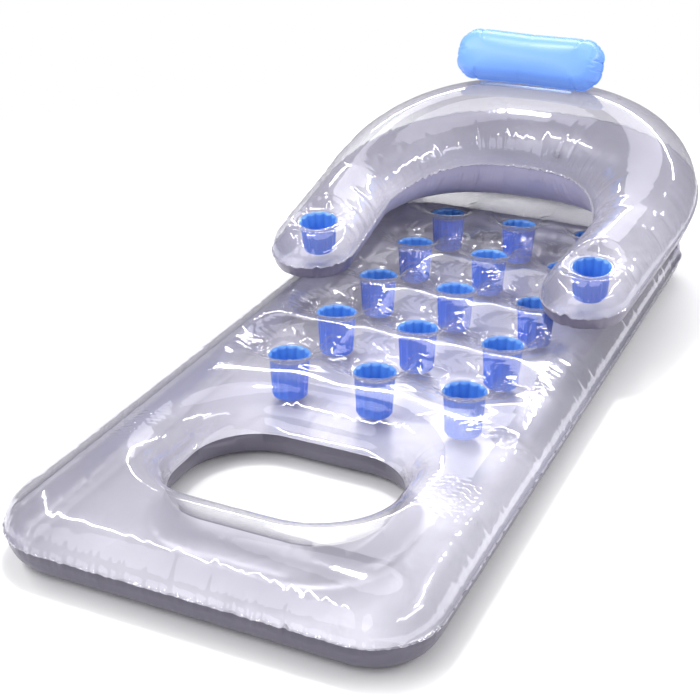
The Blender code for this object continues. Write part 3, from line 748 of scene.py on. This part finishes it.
def makePockets():
    for row, column, x, y in pocketPlaces():
        word = ("left", "middle", "right")[column]
        node = "pocket_cup_%d_%s" % (row + 1, word)
        low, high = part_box(node)
        matrix = Matrix.Translation((x, y + footEdge + mattress["lip"], high.z))
        addCup("pocketCup%d%s" % (row + 1, word.capitalize()), node, high.z - low.z - cup["wall"], matrix)
    print("pockets made")


# Rest for arms and back

rest = {
    "tilt": radians(8.1), "start": 0.947, "rise": 0.153, "spread": 0.286, "toe": 0.020,
    "armLength": 0.224, "archLength": 0.365, "power": 2.35,
    "armHalf": (0.079, 0.065), "archHalf": (0.140, 0.121),      # half width and half height
    "holder": {"x": 0.266, "y": 0.023, "rim": 0.0455, "depth": 0.060, "dip": 0.030},
    "steps": {"across": 72, "arm": 66, "arch": 320, "cap": 26},
    "puckers": {"count": 46, "depth": 0.0070, "reach": 0.024, "fineCount": 113, "fineDepth": 0.0018,
                "fineReach": 0.010, "seed": 71},
    "holderPuckers": {"count": 11, "sharpness": 3, "depth": 0.003, "reach": 0.009, "seed": 90},
    "seam": {"counts": (71, 113, 157, 211, 283), "height": 0.0050, "notches": 53, "notchHeight": 0.0055,
             "seed": 61},
    "seamReach": 0.007,
    "cloth": {"pressure": 2, "stiffness": 100, "growth": 0.006, "frames": 8, "take": 0.8, "smoothing": 7},
}


def restPath():
    # Centre line: straight arms and half a superellipse, cut into even steps
    arm, arch = np.linspace(0, 1, 400), np.linspace(pi / 2, 0, 1600)
    archX, archY = np.sin(arch) ** (2 / rest["power"]), np.cos(arch) ** (2 / rest["power"])
    x = np.r_[-rest["spread"] + rest["toe"] * (1 - arm), -rest["spread"] * archX]
    y = np.r_[arm * rest["armLength"], rest["armLength"] + rest["archLength"] * archY]
    x, y = np.r_[x, -x[-2::-1]], np.r_[y, y[-2::-1]]
    run = np.r_[0, np.cumsum(np.hypot(np.diff(x), np.diff(y)))]
    keep = np.r_[True, np.diff(run) > 1e-9]
    return x[keep], y[keep], run[keep]


pathX, pathY, pathRun = restPath()
armWidth = rest["armHalf"][0]      # from the path to the seam


def onPath(run):
    # place and forward direction at a length along the path, carried straight on past both ends
    step = 0.006
    held = np.clip(run, 0, pathRun[-1])
    x, y = np.interp(held, pathRun, pathX), np.interp(held, pathRun, pathY)
    before, after = np.clip(held - step, 0, None), np.clip(held + step, None, pathRun[-1])
    alongX = np.interp(after, pathRun, pathX) - np.interp(before, pathRun, pathX)
    alongY = np.interp(after, pathRun, pathY) - np.interp(before, pathRun, pathY)
    long = np.hypot(alongX, alongY)
    alongX, alongY = alongX / long, alongY / long
    return x + (run - held) * alongX, y + (run - held) * alongY, alongX, alongY


def swollen(y, which):
    # half width (0) or half height (1), from the arms' to the arch's by a power of the way along the arch
    armSize, archSize = rest["armHalf"][which], rest["archHalf"][which]
    share = np.clip((y - rest["armLength"]) / rest["archLength"], 0, 1) ** (rest["power"] / 2)
    return armSize + (archSize - armSize) * share


def restGrid(withHolders):
    # A strip along the path, as wide as the tube, with its end squares rounded to half discs. The lines
    # beside the path follow a cosine, so they crowd at the seam. Returns distances from the path and
    # lengths along it.
    steps = rest["steps"]
    across = -np.cos(np.linspace(0, pi, steps["across"] + 1))
    total = pathRun[-1]
    cap = -np.sin(np.linspace(pi / 2, 0, steps["cap"] + 1))
    arm = np.linspace(0, rest["armLength"], steps["arm"] + 1)
    arch = np.linspace(rest["armLength"], total - rest["armLength"], steps["arch"] + 1)
    runs = np.r_[cap[:-1] * armWidth, arm[:-1], arch, (total - arm[::-1])[1:], total - cap[::-1][1:] * armWidth]
    a, run = np.meshgrid(across, runs)
    end = np.where(run < 0, run, np.where(run > total, run - total, 0)) / armWidth
    held = np.clip(run, 0, total)
    side = a * np.sqrt(1 - end ** 2 / 2)
    past = end * np.sqrt(1 - a ** 2 / 2)
    width = swollen(np.interp(held, pathRun, pathY), 0)
    p, q = side * width, held + past * armWidth
    removed = np.zeros(p.shape, bool)
    if withHolders:
        holder = rest["holder"]
        rows = (steps["cap"] // 4, steps["cap"] + 3 * steps["arm"] // 8)
        columns = (steps["across"] // 6, steps["across"] - steps["across"] // 6)
        placeX, placeY, alongX, alongY = onPath(np.array(holder["y"]))
        lateral = (-holder["x"] - placeX) * alongY - (holder["y"] - placeY) * alongX
        otherRows = tuple(len(runs) - 1 - r for r in rows[::-1])
        for block, centre in ((rows, (lateral, holder["y"])), (otherRows, (-lateral, total - holder["y"]))):
            openHole(p, q, removed, block, columns, 0.42, roundHole(centre, cup["mouth"] / 2))
    return p, q, removed


def restFrame(p, q):
    # seam-plane place of a lateral distance p and a length q along the path
    x, y, alongX, alongY = onPath(q)
    return x + p * alongY, y - p * alongX


def restShare(p, q):
    # distance from the path as a share of the half width there, and the half height there
    held = np.clip(q, 0, pathRun[-1])
    y = np.interp(held, pathRun, pathY)
    halfWidth = swollen(y, 0)
    return np.hypot(p, q - held) / halfWidth, halfWidth, swollen(y, 1)


def restSeamPlace(p, q):
    # share of the way round the seam
    held = np.clip(q, 0, pathRun[-1])
    turn = np.arctan2(np.abs(q - held), np.maximum(np.abs(p), 1e-9)) * armWidth
    run = held + np.where(q > held, turn, -turn) + armWidth * pi / 2
    perimeter = 2 * (pathRun[-1] + armWidth * pi)
    return np.where(p >= 0, run, perimeter - run) / perimeter


def withLip(p, q, removed):
    # one more line beyond the seam all round, for the trimmed weld
    p, q, removed = (np.pad(g, 1, mode="edge") for g in (p, q, removed))
    held = np.clip(q, 0, pathRun[-1])
    away = np.maximum(np.hypot(p, q - held), 1e-9)
    trim = outerLine(p.shape) * mattress["lip"]
    return p + trim * p / away, q + trim * (q - held) / away, removed


def restToWorld(y, level):
    # from a place in the tilted seam plane and a height over it to the frame's y and z
    worldY = rest["start"] + y * cos(rest["tilt"]) - level * sin(rest["tilt"]) + footEdge + mattress["lip"]
    return worldY, rest["rise"] + y * sin(rest["tilt"]) + level * cos(rest["tilt"])


def restSurface(side):
    # The tube's half section is an ellipse over the distance from its path. The upper film dips to the
    # holders' weld rings, and the lower film lies flat on the mattress where it reaches it.
    holder = rest["holder"]
    p, q, removed = withLip(*restGrid(side > 0))
    share, halfWidth, halfHeight = restShare(p, q)
    x, y = restFrame(p, q)
    crown = halfHeight * np.sqrt(np.clip(1 - share ** 2, 0, 1))
    inside = (1 - share) * halfWidth
    place = restSeamPlace(p, q)
    crown -= np.minimum(puckerDepth(place, inside, rest["puckers"]), 0.8 * crown)
    ragged = raggedSeam(place, **rest["seam"]) * np.exp(-(inside / rest["seamReach"]) ** 2)
    creases = rest["holderPuckers"]
    if side > 0:
        for atX in (-holder["x"], holder["x"]):
            away = np.hypot(x - atX, y - holder["y"]) - weldRadius
            turn = np.arctan2(y - holder["y"], x - atX) / (2 * pi)
            pinched = pinches(turn, creases["count"], creases["sharpness"], creases["seed"])
            dent = pinched * creases["depth"] * swell(np.clip(away, 0, None), creases["reach"])
            dipped = holder["rim"] + (crown - holder["rim"]) * easeIn(away / holder["dip"])
            crown = np.minimum(crown, dipped) - dent
        level = crown
    else:
        seat = (rest["rise"] - mattress["crest"] - 0.0006 + y * sin(rest["tilt"])) / cos(rest["tilt"])
        level = -np.minimum(crown, seat)
    level = level + side * (mattress["gauge"] + 0.00015) + ragged
    worldY, worldZ = restToWorld(y, level)
    held = share > 0.995
    for atX in (-holder["x"], holder["x"]):
        held |= np.hypot(x - atX, y - holder["y"]) < weldRadius
    return x, worldY, worldZ, removed, held


def restFloor(points, back):
    # how high the mattress may come: up to the rest where it lies on it
    x, y = points[:, 0], points[:, 1] + back
    planeY = (y - rest["start"]) / cos(rest["tilt"])
    covered = np.zeros(len(x), bool)
    near = np.flatnonzero(planeY > -armWidth)
    coarseX, coarseY = pathX[::8], pathY[::8]
    for part in np.array_split(near, 40):
        away = np.hypot(x[part, None] - coarseX, planeY[part, None] - coarseY)
        covered[part] = away.min(1) < 0.9 * swollen(coarseY[away.argmin(1)], 0)
    return np.where(covered, mattress["crest"] + mattress["gauge"], 1.0)


def makeRest():
    x, y, z, removed, held = restSurface(1)
    mesh = surfaceMesh("restTopFilm", x, y, z, removed, held=held)
    inflate(mesh, rest["cloth"])
    top = addFilm(mesh, ("restClear", "restHaze"), "rest_top_film")
    x, y, z, removed = restSurface(-1)[:4]
    mesh = surfaceMesh("restUnderFilm", x, y, z, removed, flip=True)
    # the rest's under film takes the lighter copy of the under paint, which is painted light
    under = addFilm(mesh, ("restUnderLit", "inside"), "rest_bottom_film")
    holder = rest["holder"]
    rim = restToWorld(holder["y"], holder["rim"] - mattress["gauge"])
    for side, word in ((-1, "left"), (1, "right")):
        matrix = Matrix.Translation((side * holder["x"], *rim)) @ Matrix.Rotation(rest["tilt"], 4, "X")
        addCup("cupHolder" + word.capitalize(), "cup_holder_" + word, holder["depth"] - cup["wall"], matrix)
    print("rest", len(top.data.polygons), len(under.data.polygons), "quads")


makeMattress()
makePockets()
makeRest()


# Pillow

pillow = {
    "width": 0.314, "height": 0.104, "depth": 0.084, "lip": 0.003, "lean": radians(66), "toFold": 0.0036,
    "flatWidth": 0.360, "flatHeight": 0.150, "corner": 0.069, "steps": (140, 58), "thick": 0.006,
    "cloth": {"pressure": 8, "stiffness": 40, "growth": 0, "frames": 50, "take": 0.5},
}


def pillowHinge():
    joint = next(j for j in frame["joints"] if j["name"] == "pillow_fold")
    low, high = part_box("pillow_web")
    place = Matrix.Translation(((low.x + high.x) / 2, *joint["pos_m"][1:]))
    return place @ Matrix.Rotation(pillow["lean"], 4, "X")


def flatPillow():
    # two sheets with a common border, a few millimetres apart in the middle
    halfX, halfY = pillow["flatWidth"] / 2, pillow["flatHeight"] / 2
    lines = (np.linspace(-half, half, steps + 1) for half, steps in zip((halfX, halfY), pillow["steps"]))
    x, y = roundCorners(*np.meshgrid(*lines), halfX, halfY, pillow["corner"])
    inside = -outwardDistance(x, y, halfX, halfY, pillow["corner"])
    level = pillow["thick"] * rollUp(inside, 0.5 * halfY)
    index = np.arange(x.size).reshape(x.shape)
    rim = np.zeros(x.shape, bool)
    rim[[0, -1], :] = rim[:, [0, -1]] = True
    behind = np.where(rim, index, index + x.size)
    used, fresh = np.unique(np.concatenate([index.ravel(), behind.ravel()]), return_inverse=True)
    points = np.stack([np.r_[x.ravel(), x.ravel()], np.r_[y.ravel(), y.ravel()],
                       np.r_[level.ravel(), -level.ravel()]], -1)[used]
    sheets = fresh.reshape(2, *x.shape)
    quads = [np.stack([s[:-1, :-1], s[:-1, 1:], s[1:, 1:], s[1:, :-1]], -1).reshape(-1, 4) for s in sheets]
    border = np.r_[index[0, :-1], index[:-1, -1], index[-1, :0:-1], index[:0:-1, 0]]
    return points, np.vstack([quads[0], quads[1][:, ::-1]]), fresh[border]


def makePillow():
    # Blown up from flat sheets, then brought to its measured size, with the trimmed weld added round it
    points, quads, border = flatPillow()
    full = (pillow["width"], pillow["height"], pillow["depth"])
    smooth = points * full / np.ptp(points, axis=0)
    blown = blowUp(points, quads, [], pillow["cloth"])
    size = np.ptp(blown, axis=0)
    print("pillow blown up to", size.round(4))
    blown = (blown - (blown.max(0) + blown.min(0)) / 2) * full / size
    points = smooth + pillow["cloth"]["take"] * (blown - smooth)
    rim = points[border]
    along = np.roll(rim, -1, 0) - np.roll(rim, 1, 0)
    out = np.column_stack([along[:, 1], -along[:, 0]]) / np.hypot(along[:, 0], along[:, 1])[:, None]
    trimmed = rim + pillow["lip"] * np.column_stack([out, np.zeros(len(rim))])
    first = len(points)
    ring = np.arange(len(border))
    lip = np.column_stack([border, first + ring, first + np.roll(ring, -1), np.roll(border, -1)])
    points = np.vstack([points, trimmed])
    points[:, 1] += pillow["toFold"] + pillow["height"] / 2
    world = np.column_stack([points, np.ones(len(points))]) @ np.array(pillowHinge()).T
    mesh = bpy.data.meshes.new("pillowFilm")
    mesh.from_pydata(world[:, :3].tolist(), [], np.vstack([quads, lip]).tolist())
    mesh.shade_smooth()
    nodes = ["pillow_front_film", "pillow_back_film"]
    addPiece(mesh, [paints["pillow"]], "pillow", nodes)


makePillow()
for name, node in frame["nodes"].items():
    if name == "pillow_web" or "_valve_" in name:
        node.data.materials.clear()
        node.data.materials.append(paints["web" if name == "pillow_web" else "valve"])
print("pillow made")


# Camera, lights and floor

camera = {"place": (0.81162, -2.08365, 1.12894), "azimuth": radians(24.5246), "drop": radians(26.0144),
          "roll": radians(0.2844), "lens": 70.939, "sensor": 36.0}


def makeCamera():
    turn, drop, roll = camera["azimuth"], camera["drop"], camera["roll"]
    ahead = Vector((-sin(turn) * cos(drop), cos(turn) * cos(drop), -sin(drop)))
    right = ahead.cross(Vector((0, 0, 1))).normalized()
    up = right.cross(ahead)
    right, up = cos(roll) * right + sin(roll) * up, -sin(roll) * right + cos(roll) * up
    data = bpy.data.cameras.new("camera")
    data.lens, data.sensor_width = camera["lens"], camera["sensor"]
    item = addObject("camera", data)
    item.matrix_world = Matrix.Translation(camera["place"]) @ Matrix((right, up, -ahead)).transposed().to_4x4()
    bpy.context.scene.camera = item


def addLamp(name, azimuth, height, away, size, glow):
    # a strip, or a rounder soft box, that looks at the middle of the lounge, with its radiance given
    azimuth, height = radians(azimuth), radians(height)
    place = away * Vector((sin(azimuth) * cos(height), cos(azimuth) * cos(height), sin(height)))
    data = bpy.data.lights.new(name, "AREA")
    data.shape = "RECTANGLE" if size[0] > 8 * size[1] else "ELLIPSE"
    data.size, data.size_y = size
    data.energy = glow * pi * size[0] * size[1]
    item = addObject(name, data)
    item.location = place
    item.rotation_mode = "QUATERNION"
    item.rotation_quaternion = (-place).to_track_quat("-Z", "Y")


# Azimuth from +Y towards +X and elevation in degrees, distance, width and height, and radiance
lamps = {
    "overheadBox": (0, 85, 2.6, (2.4, 2.4), 1.45),
    "overheadSpot": (-90, 78, 2.4, (0.34, 0.34), 50),
    "backBox": (-10, 42, 3.0, (2.0, 1.1), 1.9),
    "backSpot": (-22, 31, 3.0, (0.50, 0.36), 2.0),
    "backStrip": (-5, 34, 3.2, (3.4, 0.05), 60),
    "leftStrip": (-125, 47, 2.8, (3.2, 0.08), 46),
    "rightStrip": (70, 36, 2.8, (2.2, 0.08), 44),
    "rightBox": (105, 28, 3.0, (2.2, 0.24), 5),
    "frontBox": (-168, 26, 3.0, (2.4, 1.4), 1.3),
}


# the white all round: its radiance to the camera and to the object, and the floor that fades into it
backdrop = {"seen": 1.0, "lit": 0.35, "reach": 12, "drop": 0.0004, "fadeEnd": 1.9, "fadeRate": 1.6}


def makeStage():
    for name, lamp in lamps.items():
        addLamp(name, *lamp)
    world = bpy.data.worlds.new("world")
    bpy.context.scene.world = world
    world.use_nodes = True
    tree = world.node_tree
    glow = tree.nodes["Background"]
    glow.inputs["Color"].default_value = (1, 1, 1, 1)
    rays = tree.nodes.new("ShaderNodeLightPath")
    seen = tree.nodes.new("ShaderNodeMath")
    seen.operation = "MULTIPLY_ADD"
    tree.links.new(rays.outputs["Is Camera Ray"], seen.inputs[0])
    seen.inputs[1].default_value = backdrop["seen"] - backdrop["lit"]
    seen.inputs[2].default_value = backdrop["lit"]
    tree.links.new(seen.outputs[0], glow.inputs["Strength"])
    mesh = bpy.data.meshes.new("floor")
    reach = backdrop["reach"]
    corners = [(-reach, -reach, 0), (reach, -reach, 0), (reach, reach, 0), (-reach, reach, 0)]
    mesh.from_pydata(corners, [], [(0, 1, 2, 3)])
    floor = addObject("floor", mesh)
    floor.location.z = -backdrop["drop"]
    paint = Paint("floorPaint", {"Roughness": 0.9, "Base Color": (0.95, 0.95, 0.96, 1)})
    away = paint.add("ShaderNodeVectorMath", {"operation": "LENGTH"}, {0: paint.place()}, 1)
    paint.show("Alpha", ((backdrop["fadeEnd"] - away) * backdrop["fadeRate"]).clipped(0, 1))
    mesh.materials.append(paint.material)


makeCamera()
makeStage()
bpy.context.scene.view_settings.view_transform = "Standard"
print("camera, lamps, floor")
